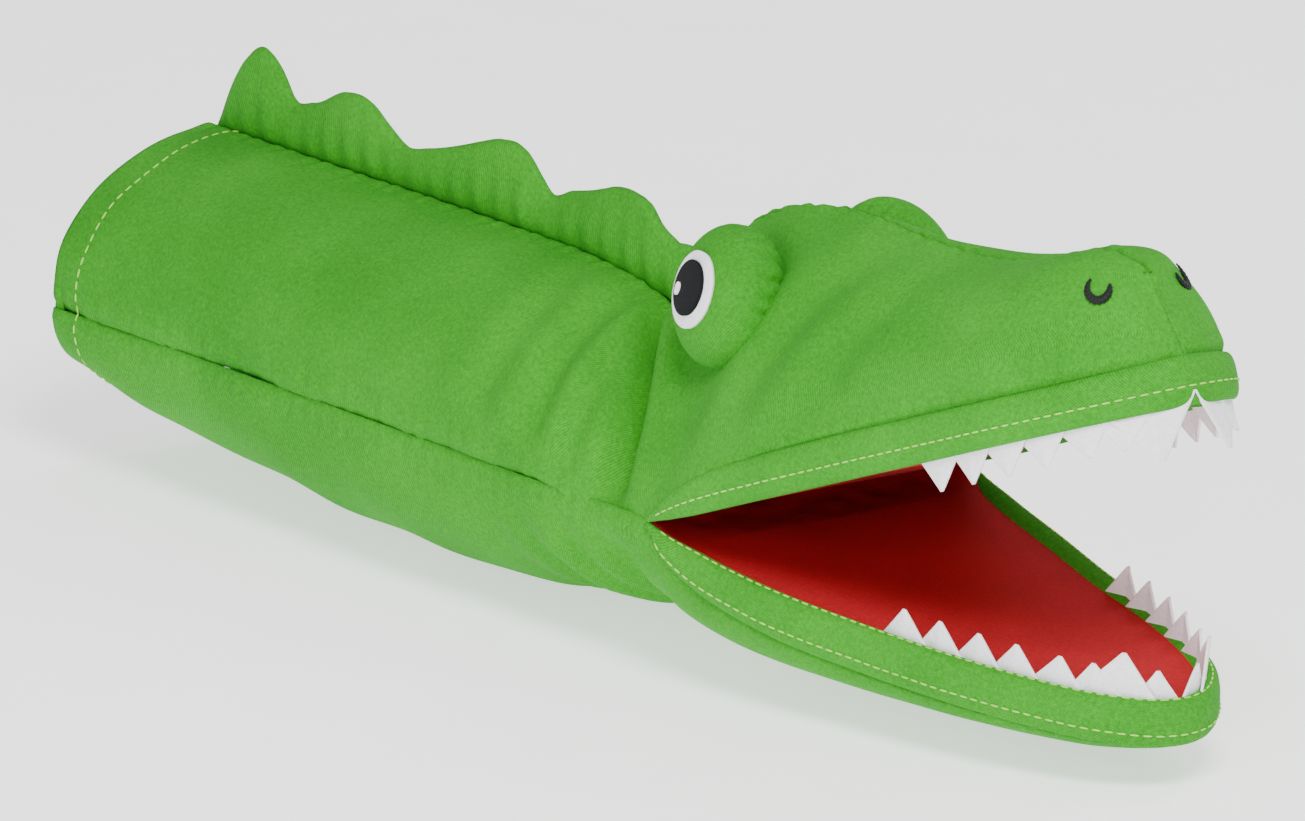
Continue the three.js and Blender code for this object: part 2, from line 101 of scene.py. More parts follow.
def normalsOf(grid):
    # Unit cross product of the grid's two directions
    n = np.cross(np.gradient(grid, axis=0), np.gradient(grid, axis=1))
    return n / np.maximum(np.linalg.norm(n, axis=2, keepdims=True), 1e-12)


def lengthsAlong(grid, axis):
    # Distance travelled along one direction of the grid, in metres
    step = np.linalg.norm(np.diff(grid, axis=axis), axis=2)
    pad = [(1, 0), (0, 0)] if axis == 0 else [(0, 0), (1, 0)]
    return np.cumsum(np.pad(step, pad), axis=axis)


def gridFaces(nu, nv, wrap=False):
    # Each cell's corners (i, j), (i + 1, j), (i + 1, j + 1), (i, j + 1).
    # wrap joins the last column to the first
    i, j = np.meshgrid(np.arange(nu - 1), np.arange(nv if wrap else nv - 1), indexing="ij")
    k = (j + 1) % nv
    return np.stack([i * nv + j, (i + 1) * nv + j, (i + 1) * nv + k, i * nv + k], 2).reshape(-1, 4)


def makeMesh(name, points, faces, uv=None, flip=False, merge=False):
    # Points in metres and their faces become an object at the origin; merge welds seams and poles
    faces = faces[:, ::-1] if flip else faces
    mesh = bpy.data.meshes.new(name)
    mesh.from_pydata(points.reshape(-1, 3).tolist(), [], faces.tolist())
    if uv is not None:
        layer = mesh.uv_layers.new(name="cloth")
        layer.data.foreach_set("uv", uv.reshape(-1, 2)[faces.ravel()].ravel())
    mesh.polygons.foreach_set("use_smooth", [True] * len(mesh.polygons))
    if merge:
        bm = bmesh.new()
        bm.from_mesh(mesh)
        bmesh.ops.remove_doubles(bm, verts=bm.verts, dist=1e-6)
        bm.to_mesh(mesh)
        bm.free()
    obj = bpy.data.objects.new(name, mesh)
    bpy.context.scene.collection.objects.link(obj)
    return obj


def makeGrid(name, grid, flip=False, wrap=False, merge=False):
    # A surface in mm round the hinge becomes a mesh in metres, with its own lengths as its UV map
    points = grid * mm + hinge
    uv = np.stack([lengthsAlong(points, 0), lengthsAlong(points, 1)], 2)
    return makeMesh(name, points, gridFaces(*grid.shape[:2], wrap), uv, flip, merge)


def thicken(obj, thickness, outward=-1):
    # A wall of so many mm: under the surface at -1, half on each side at 0
    solid = obj.modifiers.new("thickness", "SOLIDIFY")
    solid.thickness, solid.offset = thickness * mm, outward
    solid.use_even_offset = False
    return obj


def bakeModifiers(obj):
    # The finished shape becomes the mesh itself
    dg = bpy.context.evaluated_depsgraph_get()
    mesh = bpy.data.meshes.new_from_object(obj.evaluated_get(dg))
    obj.modifiers.clear()
    obj.data = mesh
    bm = bmesh.new()
    bm.from_mesh(mesh)
    bmesh.ops.recalc_face_normals(bm, faces=bm.faces)
    bm.to_mesh(mesh)
    bm.free()
    return obj


def tilted(s, y, h, degrees):
    # Jaw coordinates (along, across, height) turned up about the hinge
    a = np.radians(degrees)
    return np.stack(np.broadcast_arrays(s * np.cos(a) - h * np.sin(a), y, s * np.sin(a) + h * np.cos(a)), -1)


def mirrorGrid(grid):
    # y becomes -y
    return grid * np.array([1, -1, 1])


def linear(hexColour):
    # An sRGB hex colour as linear light
    c = np.array([int(hexColour[i:i + 2], 16) / 255 for i in (1, 3, 5)])
    return (*np.where(c <= 0.04045, c / 12.92, ((c + 0.055) / 1.055) ** 2.4), 1.0)


def addNode(tree, kind, settings=None, stops=(), **links):
    # A node with its settings, the stops of its ramp, and its inputs either linked or set.
    # An input is named, or is n and its number
    node = tree.nodes.new(kind)
    for key, value in (settings or {}).items():
        setattr(node, key, value)
    for key, value in links.items():
        numbered = key[0] == "n" and key[1:].isdigit()
        socket = node.inputs[int(key[1:]) if numbered else key.replace("_", " ")]
        if isinstance(value, bpy.types.NodeSocket):
            tree.links.new(value, socket)
        else:
            socket.default_value = value
    for number, (place, colour) in enumerate(stops):
        elements = node.color_ramp.elements
        element = elements[number] if number < len(elements) else elements.new(place)
        element.position, element.color = place, linear(colour)
    return node


def newMaterial(name):
    # An empty node tree and its output
    material = bpy.data.materials.new(name)
    material.use_nodes = True
    tree = material.node_tree
    tree.nodes.clear()
    out = tree.nodes.new("ShaderNodeOutputMaterial")
    return material, tree, out


def wovenCloth(name, dark, base, light, thread=0.75, sheen=0.25, bumpDepth=0.12, roughness=0.9):
    # Dyed cotton twill: diagonal ribs of thread, slightly uneven dye, matt with a soft sheen.
    # Real ribs are about 0.4 mm apart; they are drawn at thread mm so that they show.
    material, tree, out = newMaterial(name)
    scaleAndAdd = {"operation": "MULTIPLY_ADD"}
    uv = addNode(tree, "ShaderNodeTexCoord").outputs["UV"]
    place = addNode(tree, "ShaderNodeTexCoord").outputs["Object"]
    turned = addNode(tree, "ShaderNodeMapping", n0=uv, n2=(0, 0, math.radians(38))).outputs[0]
    scale = 2 * math.pi / (20 * thread * mm)
    ribs = addNode(tree, "ShaderNodeTexWave", {"wave_type": "BANDS", "bands_direction": "X"},
                   Vector=turned, Scale=scale, Distortion=0.5, Detail=2.0, Detail_Scale=1.5).outputs["Fac"]
    across = addNode(tree, "ShaderNodeTexWave", {"wave_type": "BANDS", "bands_direction": "Y"},
                     Vector=uv, Scale=scale * 1.3, Distortion=0.5, Detail=1.0).outputs["Fac"]
    slub = addNode(tree, "ShaderNodeTexNoise", Vector=place, Scale=1 / (0.9 * mm), Detail=3.0,
                   Roughness=0.6).outputs["Fac"]
    blotch = addNode(tree, "ShaderNodeTexNoise", Vector=place, Scale=1 / (38 * mm), Detail=3.0).outputs["Fac"]
    weave = addNode(tree, "ShaderNodeMath", scaleAndAdd, n0=across, n1=0.5, n2=ribs).outputs[0]
    ribbed = addNode(tree, "ShaderNodeMath", {"operation": "MULTIPLY"}, n0=weave, n1=0.4).outputs[0]
    grain = addNode(tree, "ShaderNodeMath", scaleAndAdd, n0=slub, n1=1.5, n2=ribbed).outputs[0]
    tone = addNode(tree, "ShaderNodeMath", scaleAndAdd, n0=blotch, n1=0.9, n2=grain).outputs[0]
    level = addNode(tree, "ShaderNodeMapRange", n0=tone, n1=0.85, n2=2.25).outputs[0]
    dye = addNode(tree, "ShaderNodeValToRGB", stops=[(0.0, dark), (0.45, base), (1.0, light)],
                  n0=level).outputs["Color"]
    height = addNode(tree, "ShaderNodeBump", Strength=0.7, Distance=bumpDepth * mm, Height=grain).outputs[0]
    rough = addNode(tree, "ShaderNodeMapRange", n0=slub, n3=roughness - 0.08, n4=roughness + 0.06).outputs[0]
    shader = addNode(tree, "ShaderNodeBsdfPrincipled", Base_Color=dye, Roughness=rough, Normal=height)
    shader.inputs["IOR"].default_value = 1.46
    shader.inputs["Specular IOR Level"].default_value = 0.25
    shader.inputs["Sheen Weight"].default_value = sheen
    shader.inputs["Sheen Roughness"].default_value = 0.5
    shader.inputs["Sheen Tint"].default_value = linear(light)
    tree.links.new(shader.outputs[0], out.inputs[0])
    return material


def feltCloth(name, dark, light, grain=1.1, roughness=0.95, sheen=0.3):
    # Pressed felt: short fibres in every direction, no weave, fully matt
    material, tree, out = newMaterial(name)
    place = addNode(tree, "ShaderNodeTexCoord").outputs["Object"]
    fibres = addNode(tree, "ShaderNodeTexNoise", Vector=place, Scale=1 / (grain * mm), Detail=5.0,
                     Roughness=0.7, Distortion=0.8).outputs["Fac"]
    soft = addNode(tree, "ShaderNodeTexNoise", Vector=place, Scale=1 / (9 * mm), Detail=2.0).outputs["Fac"]
    mix = addNode(tree, "ShaderNodeMath", {"operation": "MULTIPLY_ADD"},
                  n0=soft, n1=0.6, n2=fibres).outputs[0]
    level = addNode(tree, "ShaderNodeMapRange", n0=mix, n1=0.5, n2=1.1).outputs[0]
    dye = addNode(tree, "ShaderNodeValToRGB", stops=[(0.0, dark), (1.0, light)], n0=level).outputs["Color"]
    height = addNode(tree, "ShaderNodeBump", Strength=0.5, Distance=0.15 * mm, Height=fibres).outputs[0]
    shader = addNode(tree, "ShaderNodeBsdfPrincipled", Base_Color=dye, Normal=height)
    shader.inputs["Roughness"].default_value = roughness
    shader.inputs["Sheen Weight"].default_value = sheen
    shader.inputs["Specular IOR Level"].default_value = 0.2
    tree.links.new(shader.outputs[0], out.inputs[0])
    return material


# Piece-dyed twill: matt, a fine grain, a little uneven in colour
greenTwill = wovenCloth("dyedCottonTwillGreen", "#1f6a0c", "#2f8a17", "#4aa72a", thread=0.6,
                        sheen=0.03, bumpDepth=0.1)
# Piece-dyed poplin: smoother than twill, deep and matt
redPoplin = wovenCloth("dyedCottonPoplinRed", "#7a0a12", "#a0121b", "#b91e29", thread=0.6,
                       sheen=0.15, bumpDepth=0.06)
# Starched poplin: stiff, nearly smooth, a cool white
whitePoplin = wovenCloth("starchedCottonWhite", "#dcd9e2", "#f1eff4", "#ffffff", thread=0.6,
                         sheen=0.1, bumpDepth=0.05)
# Unbleached calico: flecked cream, coarser threads
calico = wovenCloth("undyedCalico", "#b9ad92", "#d3c9b0", "#e4dcc8", thread=0.9)
# Spun sewing thread: smoother than cloth, so it catches a little light
threadGreen = feltCloth("polyesterThreadLime", "#7cc238", "#a9dc5c", grain=0.5, roughness=0.6, sheen=0.1)
# Pressed felts: short fibres, dead matt
whiteFelt = feltCloth("pressedFeltWhite", "#e2e0e2", "#ffffff")
blackFelt = feltCloth("pressedFeltBlack", "#050507", "#101116", grain=0.7, sheen=0.02)
# Stranded embroidery thread: satin, laid close
blackThread = feltCloth("embroideryThreadBlack", "#060906", "#161c16", grain=0.5, roughness=0.6, sheen=0.05)
# Carded wadding: coarse loose fibres
wool = feltCloth("polyesterWadding", "#d2cfc6", "#f2f0ea", grain=3.0)
# Rolled millboard: pressed wood pulp with a fine fleck
brownBoard = feltCloth("millboardBrown", "#8d744b", "#b6996a", grain=0.8, roughness=0.85, sheen=0.0)


def dress(obj, material, slot, *nodes):
    # The material, the slot's name (not used), and the imported pieces that this one stands for
    obj.data.materials.clear()
    obj.data.materials.append(material)
    if nodes:
        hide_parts(*nodes)
    return obj


# Shapes of the skin, one row per station from the cuff to the tip, in mm round the hinge:
# along the lower edge, half-width, along the centre seam, height there, tilt, section power,
# lip band, and how far the lip hangs below the line of the hinge
upperRows = np.array([
    [-246, 50, -246, 39.5, 0, 0.95, 0, 0],
    [-200, 49.5, -200, 40, 0, 0.93, 0, 0],
    [-150, 49, -150, 40.6, 0, 0.92, 0, 0],
    [-110, 49, -108, 40.8, 0, 0.92, 0, 0],
    [-85, 49, -86, 40.5, 0, 0.93, 0, 0],
    [-60, 48.5, -66, 38, 0, 0.96, 0, 0],
    [-42, 48, -52, 36, 1, 1.05, 0, 0],
    [-27, 47.6, -36, 43, 7, 1.25, 0, 0],
    [-13, 47.4, -20, 57, 14, 1.55, 0, 0],
    [0, 47.4, -4, 65, 19, 1.8, 0.2, 0],
    [10, 47.3, 13, 67.5, 20, 1.85, 4, 0],
    [25, 46.6, 31, 65.5, 20, 1.7, 7.2, 0],
    [46, 44.4, 50, 60.6, 20, 1.45, 8.4, 0],
    [72, 40, 74, 51, 20, 1.2, 9, 0],
    [99, 36, 100, 43, 20, 1.0, 9, 0],
    [124, 32.5, 122, 40, 20, 0.9, 9, 0],
    [143, 26, 139, 40, 20, 0.85, 9, 0],
    [156, 18, 149, 37.5, 20, 0.8, 9.3, 0],
    [162.7, 9, 154, 34.5, 20, 0.8, 9.7, 0],
    [165, 0, 157, 31.5, 20, 0.8, 10, 0],
])
lowerRows = np.array([
    [-246, 50, -246, 26, 0, 0.9, 0, 0],
    [-215, 49.5, -215, 32, 0, 0.88, 0, 0],
    [-170, 49, -170, 36.5, 0, 0.86, 0, 0],
    [-130, 49, -130, 39, 0, 0.85, 0, 0],
    [-95, 49, -95, 39.6, 0, 0.85, 0, 0],
    [-68, 48.6, -68, 37, 0, 0.85, 0, 0],
    [-45, 48.2, -45, 33, 0, 0.85, 0, 0],
    [-27, 47.6, -28, 31, 0, 0.85, 0, 0],
    [-13, 47.4, -14, 30.5, -2, 0.85, 0, 0],
    [0, 47.4, 0, 30.5, -5.5, 0.85, 0.2, 0.8],
    [8.5, 47.1, 8.5, 28, -6.5, 0.85, 4, 3.4],
    [24, 45.6, 24, 25.5, -6.5, 0.85, 7, 5.0],
    [46, 42.6, 46, 23, -6.5, 0.85, 8.6, 5.6],
    [70, 37.8, 69, 20.5, -6.5, 0.85, 9, 5.4],
    [96, 33, 95, 18.2, -6.5, 0.85, 9, 4.4],
    [119, 27, 117, 16.2, -6.5, 0.85, 9, 3.4],
    [137, 19.8, 134, 14, -6.5, 0.85, 9, 2.8],
    [147, 12.4, 142, 12.6, -6.5, 0.85, 9, 2.6],
    [151.5, 6.2, 146, 11.8, -6.5, 0.85, 9, 2.6],
    [153, 0, 148, 11.4, -6.5, 0.85, 9, 2.6],
])


def column(rows, index):
    # One column of the rows, as a smooth curve over 0 to 1
    return smoothCurve(np.stack([np.linspace(0, 1, len(rows)), rows[:, index]], 1))


upperShape = [column(upperRows, i) for i in range(8)]
lowerShape = [column(lowerRows, i) for i in range(8)]
upperTilt, lowerTilt = 20, -6.5
fineSteps = 2000  # steps along an edge that is measured


def skinPoint(shape, u, v, sign):
    # Lower edge at v = 0 to the centre seam at v = 1: powers of cosine and sine give the section
    s0, width, sTop, top, tilt, power, base, drop = [f(u) for f in shape]
    angle = v * math.pi / 2
    rise = np.sin(angle) ** power
    y = -width * np.maximum(np.cos(angle), 0) ** power
    s = s0 + (sTop - s0) * rise
    return tilted(s, y, sign * (base + (top - base) * rise), tilt) - drop[..., None] * np.array([0, 0, 1]), s


def stationsEvenly(shape, count, start=0.0):
    # u values that are about evenly spaced along the lower edge, so that the tip gets enough rows
    u = np.linspace(start, 1, fineSteps)
    s, w = shape[0](u), shape[1](u)
    travel = np.concatenate([[0], np.cumsum(np.hypot(np.diff(s), np.diff(w)))])
    return np.interp(np.linspace(0, travel[-1], count), travel, u)


# Side cloths: one piece each from the cuff to the snout
sideCloth = {
    "columns": 420, "rows": 84, "thickness": 1.0, "around": 75, "seamValley": 1.2,
    "creaseDepth": 10.5, "creaseAt": -17, "creaseLean": 27, "creaseWidth": 5.5,
    "foldsAt": -52, "foldsReach": 24, "foldPitch": 19, "dragPitch": 34, "puckers": (7.3, 4.9),
}
# Over the last stretch to the tip, the cloth's swells die away
tipFade = {"from": 0.985, "share": 0.999}


def sideGrid(seed):
    # The skin, pushed along its normals by the sum of creases, folds, drag lines and seams
    u = stationsEvenly(upperShape, sideCloth["columns"])
    u, v = np.meshgrid(u, np.linspace(0, 1, sideCloth["rows"]), indexing="ij")
    grid, s = skinPoint(upperShape, u, v, 1)
    around = v * sideCloth["around"]
    out = normalsOf(grid)
    # the nape crease leans back as it climbs; cloth swells on both sides of it
    centre = sideCloth["creaseAt"] - sideCloth["creaseLean"] * ease(v, 0.25, 1)
    deep = sideCloth["creaseDepth"] * ease(v, 0.06, 0.34) * (1 - 0.45 * ease(v, 0.75, 1))
    push = -deep * bump(s, centre, sideCloth["creaseWidth"])
    push += 3.2 * bump(s, centre + 13, 9) * ease(v, 0.05, 0.3) * (1 - ease(v, 0.6, 0.95))
    push += 2.4 * bump(s, centre - 17, 13) * ease(v, 0.1, 0.5) * (1 - 0.7 * ease(v, 0.8, 1))
    # soft folds that run up the sleeve behind the crease, and drag lines over the head
    behind = bump(s, sideCloth["foldsAt"], sideCloth["foldsReach"])
    behind = behind * ease(v, 0.05, 0.3) * (1 - ease(v, 0.75, 0.98))
    uneven = s + 9 * v + 7 * ripples(s, around, seed + 30, longest=90, shortest=45)
    push += 1.7 * behind * np.sin(2 * math.pi * uneven / sideCloth["foldPitch"] + seed)
    push += 0.9 * ripples(s, around, seed) * (1 - ease(s, -20, 20)) * (1 - ease(v, 0.9, 1))
    head = ease(s, 5, 40) * (1 - ease(v, 0.85, 1))
    push += 1.3 * head * ripples(s * 0.5 + around * 0.4, around, seed + 5, longest=50, shortest=18)
    drag = np.sin(2 * math.pi * (s - 0.8 * around) / sideCloth["dragPitch"] + 1.0)
    push += 1.5 * head * (1 - ease(s, 60, 110)) * drag * bump(v, 0.45, 0.25)
    # seams: the edges turn in, with small puckers
    low, high = 1 - ease(v, 0, 0.06), ease(v, 0.95, 1)
    push -= sideCloth["seamValley"] * (low**2 + high**2)
    wide, narrow = sideCloth["puckers"]
    pucker = np.sin(2 * math.pi * s / wide) + 0.6 * np.sin(2 * math.pi * s / narrow + 2)
    push += 0.22 * pucker * (bump(v, 0.05, 0.05) + bump(v, 0.955, 0.04))
    fading = 1 - tipFade["share"] * ease(u, tipFade["from"], 1)
    grid = grid + out * (push * fading)[..., None]
    grid[..., 1] = np.minimum(grid[..., 1], -0.05)
    return grid


for side, seed in (("right", 3), ("left", 11)):
    grid = sideGrid(seed)
    grid = grid if side == "right" else mirrorGrid(grid)
    cloth = makeGrid(f"{side}_side_cloth", grid, flip=side == "left")
    bakeModifiers(thicken(cloth, sideCloth["thickness"]))
    dress(cloth, greenTwill, "green_cotton",
          f"{side}_sleeve_panel", f"{side}_nape_fold", f"{side}_head_panel")
    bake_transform(cloth)
print("side cloths done")


# Belly cloth: one piece from the cuff to the chin
bellyCloth = {"columns": 380, "rows": 121, "thickness": 1.0, "around": 70, "foldsAt": -34, "foldPitch": 17,
              "creaseAt": -14, "puckers": 6.1}


def bellyGrid():
    # The skin from one edge under the keel to the other, pushed out by ripples, throat folds and seams
    u = stationsEvenly(lowerShape, bellyCloth["columns"])
    u, w = np.meshgrid(u, np.linspace(-1, 1, bellyCloth["rows"]), indexing="ij")
    v = 1 - np.abs(w)
    grid, s = skinPoint(lowerShape, u, v, -1)
    grid[..., 1] *= np.sign(w)
    grid[..., 1] = np.where(w == 0, 0, grid[..., 1])
    out = normalsOf(grid)
    out *= np.sign(-out[..., 2:3].mean())
    around = w * bellyCloth["around"]
    push = 1.0 * ripples(s, around, 21) * (1 - 0.6 * ease(s, 0, 40))
    folds = np.sin(2 * math.pi * (s + 0.25 * np.abs(around)) / bellyCloth["foldPitch"])
    push += 1.8 * bump(s, bellyCloth["foldsAt"], 20) * folds * ease(v, 0.04, 0.3)
    push -= 2.6 * bump(s, bellyCloth["creaseAt"], 6) * ease(v, 0.05, 0.3) * (1 - ease(v, 0.6, 1))
    push -= 0.8 * (1 - ease(v, 0, 0.06)) ** 2
    push += 0.2 * np.sin(2 * math.pi * s / bellyCloth["puckers"]) * bump(v, 0.05, 0.05)
    push *= 1 - tipFade["share"] * ease(u, tipFade["from"], 1)
    return grid + out * push[..., None]


bellyPoints = bellyGrid()
belly = makeGrid("belly_cloth", bellyPoints)
bakeModifiers(thicken(belly, bellyCloth["thickness"]))
dress(belly, greenTwill, "green_cotton", "belly_panel", "right_throat_fold", "left_throat_fold",
      "right_chin_panel", "left_chin_panel")
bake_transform(belly)
print("belly cloth done")


outlineSteps, outlineRounds = 150, 8


def jawOutline(shape):
    # The lip's edge from the right corner round the tip to the left corner, and which way is out
    u = np.linspace(0, 1, fineSteps)
    corner = np.interp(0, shape[0](u), u)
    u = stationsEvenly(shape, outlineSteps, corner)
    half = np.stack([shape[0](u), -shape[1](u)], 1)
    path = np.concatenate([half, half[-2::-1] * [1, -1]])
    u = np.concatenate([u, u[-2::-1]])
    for _ in range(outlineRounds):
        path[1:-1] = (path[:-2] + 2 * path[1:-1] + path[2:]) / 4
    along = np.gradient(path, axis=0)
    along /= np.linalg.norm(along, axis=1, keepdims=True)
    out = np.stack([along[:, 1], -along[:, 0]], 1)
    travel = np.concatenate([[0], np.cumsum(np.linalg.norm(np.diff(path, axis=0), axis=1))])
    return {"path": path, "out": out, "along": along, "travel": travel,
            "tilt": shape[4](u), "band": shape[6](u), "drop": shape[7](u)}


def lowered(drop):
    # A drop in mm as a step along z
    return np.asarray(drop)[..., None] * np.array([0, 0, 1])


upperEdge, lowerEdge = jawOutline(upperShape), jawOutline(lowerShape)
jaws = {
    "upper": {"edge": upperEdge, "sign": 1, "body": "upper_jaw"},
    "lower": {"edge": lowerEdge, "sign": -1, "body": "lower_jaw"},
}

# Lip bands: cloth bound round the jaw's edge, seen from the seam down and rolled in to the lining.
# Each profile runs from the seam to the lining as (outwards, share of the band's height, mm past it)
lipBand = {
    "thickness": 1.0, "rows": 33, "gatherPitch": 5.3,
    "upper": [(-1.0, 1.02, 0), (0.2, 0.97, 0), (0.9, 0.75, 0), (1.0, 0.4, 0), (0.7, 0.1, 0),
              (0.0, 0, -0.7), (-1.0, 0, -1.0), (-2.2, 0, -0.6), (-3.6, 0, 0.5)],
    "lower": [(-1.0, 1.02, 0), (0.3, 0.96, 0), (1.2, 0.72, 0), (1.3, 0.42, 0), (1.1, 0.15, 0),
              (0.3, 0, -1.2), (-0.9, 0, -1.7), (-2.4, 0, -1.2), (-4.0, 0, 0.5)],
}


def bandGrid(jaw, profile, seed):
    # Each station's profile, smoothed to a curve, drawn in towards the mouth's corners
    edge = jaw["edge"]
    profile = np.array(profile)
    step = np.linspace(0, 1, len(profile))
    fine = np.linspace(0, 1, lipBand["rows"])
    out, share, past = [smoothCurve(np.stack([step, profile[:, i]], 1))(fine) for i in range(3)]
    small = np.clip(edge["band"] / 6, 0.12, 1)[:, None]
    tuck = np.sin(2 * math.pi * edge["travel"] / lipBand["gatherPitch"] + seed)[:, None]
    gather = 1 + 0.1 * tuck * bump(fine, 0.16, 0.1)
    wave = 0.3 * ripples(edge["travel"][:, None], fine * 14, seed, longest=34, shortest=12)
    outwards = (out * gather + wave * bump(fine, 0.4, 0.25)) * small
    height = edge["band"][:, None] * share + past * small
    s = edge["path"][:, :1] + edge["out"][:, :1] * outwards
    y = edge["path"][:, 1:] + edge["out"][:, 1:] * outwards
    return tilted(s, y, jaw["sign"] * height, edge["tilt"][:, None]) - lowered(edge["drop"][:, None])


for level, jaw in jaws.items():
    grid = bandGrid(jaw, lipBand[level], 5 if level == "upper" else 8)
    band = makeGrid(f"{level}_lip_band", grid)
    bakeModifiers(thicken(band, lipBand["thickness"], 0))
    dress(band, greenTwill, "green_cotton", f"right_{level}_lip_band", f"left_{level}_lip_band")
    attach(band, jaw["body"])
    jaw["bandGrid"] = grid
print("lip bands done")


# Linings: red cloth from the back fold of the mouth, over the board, to the lips
liningSheet = {"thickness": 0.8, "inset": 2.4, "joins": 11.0, "deep": 8.0, "bulge": 5.5, "columns": 81,
               "corner": 46.6, "backTurn": 0.126, "foldRows": 18}


def liningGrid(jaw, seed):
    # Rows round the back fold are quadratic curves; the rest lie on the jaw, a little puffed
    edge, sign = jaw["edge"], jaw["sign"]
    half = len(edge["path"]) // 2 + 1
    nearCorner = np.clip(edge["band"][:half, None] / 5, 0.1, 1)
    inset = edge["path"][:half] - edge["out"][:half] * liningSheet["inset"] * nearCorner
    inset[:, 1] = np.minimum(inset[:, 1], 0)
    across = np.linspace(-1, 1, liningSheet["columns"])
    keep = inset[:, 0] > liningSheet["joins"]
    s, w = inset[keep, 0], -inset[keep, 1]
    y = w[:, None] * across
    along = s[:, None] + 0 * y
    rim = 1 - np.abs(across) ** 8
    level = 0.6 - rim * (0.9 + 0.6 * ripples(along, y, seed, longest=90, shortest=40))
    drop = edge["drop"][:half][keep][:, None] + 0 * y
    flat = tilted(along, y, sign * level, upperTilt if sign > 0 else lowerTilt) - lowered(drop)
    yBack = liningSheet["corner"] * across
    taper = np.clip(1 - np.abs(across) ** 5, 0.02, 1)
    crinkle = 1.8 * ripples(yBack, 0 * yBack, seed + 3, longest=26, shortest=9)
    deep = (liningSheet["deep"] + crinkle) * taper
    turn = liningSheet["backTurn"]
    back = np.stack([-deep * math.cos(turn), yBack, -deep * math.sin(turn)], 1)
    control = np.stack([-0.55 * deep, yBack, sign * liningSheet["bulge"] * taper + 0.06 * crinkle], 1)
    front = flat[0]
    q = np.linspace(0, 1, liningSheet["foldRows"])[:-1, None, None]
    fold = (1 - q) ** 2 * back + 2 * q * (1 - q) * control + q**2 * front
    creases = 1.5 * ripples(yBack[None, :] + 20 * q[..., 0], 30 * q[..., 0], seed + 9, longest=22, shortest=8)
    fold[..., 2] += sign * creases * taper * np.sin(math.pi * q[..., 0])
    return np.concatenate([fold, flat])


linedNodes = {"upper": ["palate_lining", "mouth_hinge_fold"], "lower": ["floor_lining"]}
for level, jaw in jaws.items():
    grid = liningGrid(jaw, 31 if level == "upper" else 44)
    red = makeGrid(f"{level}_mouth_lining", grid)
    bakeModifiers(thicken(red, liningSheet["thickness"], 0))
    dress(red, redPoplin, "red_cotton", *linedNodes[level])
    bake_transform(red)
print("linings done")


# Teeth: stiff white cloth folded into points, sewn between the band and the lining.
# start and pitch are mm along the lip from the corner; the long tooth comes last but one
teethRows = {
    "upper": {"start": 106, "pitch": 11.4, "small": 6, "bigAt": 169, "last": 0,
              "inset": 2.6, "root": 2.0, "lean": 0.15},
    "lower": {"start": 86, "pitch": 11.6, "small": 6, "bigAt": 149, "last": 160,
              "inset": 3.4, "root": 1.5, "lean": 0.1},
}
tooth = {"thickness": 0.6, "smallLength": 9.0, "smallWidth": 19.5, "bigLength": 13.0, "bigWidth": 25.0,
         "steps": 13, "point": 0.035, "lastWidth": 0.8, "areaShare": 0.52}


def toothGrid(jaw, place, width, length, row, seed):
    # A folded triangle: straight sides, a crease down the middle, and one edge lapped over the next
    edge, sign = jaw["edge"], jaw["sign"]
    at = lambda values: np.array([np.interp(place, edge["travel"], values[:, k]) for k in range(2)])
    centre, out, along = at(edge["path"]), at(edge["out"]), at(edge["along"])
    rng = np.random.default_rng(seed)
    skew, twist = rng.uniform(-0.14, 0.14), rng.uniform(0.5, 1.0)
    t, a = np.meshgrid(np.linspace(0, 1, tooth["steps"]), np.linspace(-1, 1, tooth["steps"]), indexing="ij")
    side = a * width / 2 * (1 - (1 - tooth["point"]) * t) + skew * length * t
    puff = 0.9 * (1 - np.abs(a)) * (1 - 0.6 * t) + 0.9 * twist * a * (1 - t)
    outwards = -row["inset"] + puff + row["lean"] * length * t
    s = centre[0] + along[0] * side + out[0] * outwards
    y = centre[1] + along[1] * side + out[1] * outwards
    h = sign * (row["root"] - t * (length + row["root"]))
    drop = np.interp(place, edge["travel"], edge["drop"])
    return tilted(s, y, h, upperTilt if sign > 0 else lowerTilt) - lowered(drop)


def teethPlaces(row):
    # (place, width, length): an even row at start + i * pitch, then the long tooth, then a last small one
    small = tooth["smallWidth"], tooth["smallLength"]
    places = [(row["start"] + i * row["pitch"], *small) for i in range(row["small"])]
    places.append((row["bigAt"], tooth["bigWidth"], tooth["bigLength"]))
    if row["last"]:
        places.append((row["last"], tooth["smallWidth"] * tooth["lastWidth"], tooth["smallLength"]))
    return places


def addTeeth(level, jaw, side):
    # One side's teeth as one strip; a triangle's area is about half of its width times its length
    row = teethRows[level]
    grids = [toothGrid(jaw, *place, row, 60 + i) for i, place in enumerate(teethPlaces(row))]
    grids = grids if side == "right" else [mirrorGrid(g) for g in grids]
    size = grids[0].shape[0] * grids[0].shape[1]
    faces = np.concatenate([gridFaces(*grids[0].shape[:2]) + i * size for i in range(len(grids))])
    points = np.concatenate([g.reshape(-1, 3) for g in grids]) * mm + hinge
    lengths = [np.stack([lengthsAlong(g * mm, 0), lengthsAlong(g * mm, 1)], 2) for g in grids]
    uv = np.concatenate([pair.reshape(-1, 2) for pair in lengths])
    strip = makeMesh(f"{side}_{level}_teeth_strip", points, faces, uv)
    bakeModifiers(thicken(strip, tooth["thickness"], 0))
    dress(strip, whitePoplin, "tooth_felt", f"{side}_{level}_teeth")
    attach(strip, jaw["body"])


for level, jaw in jaws.items():
    for side in ("right", "left"):
        addTeeth(level, jaw, side)
print("teeth done")


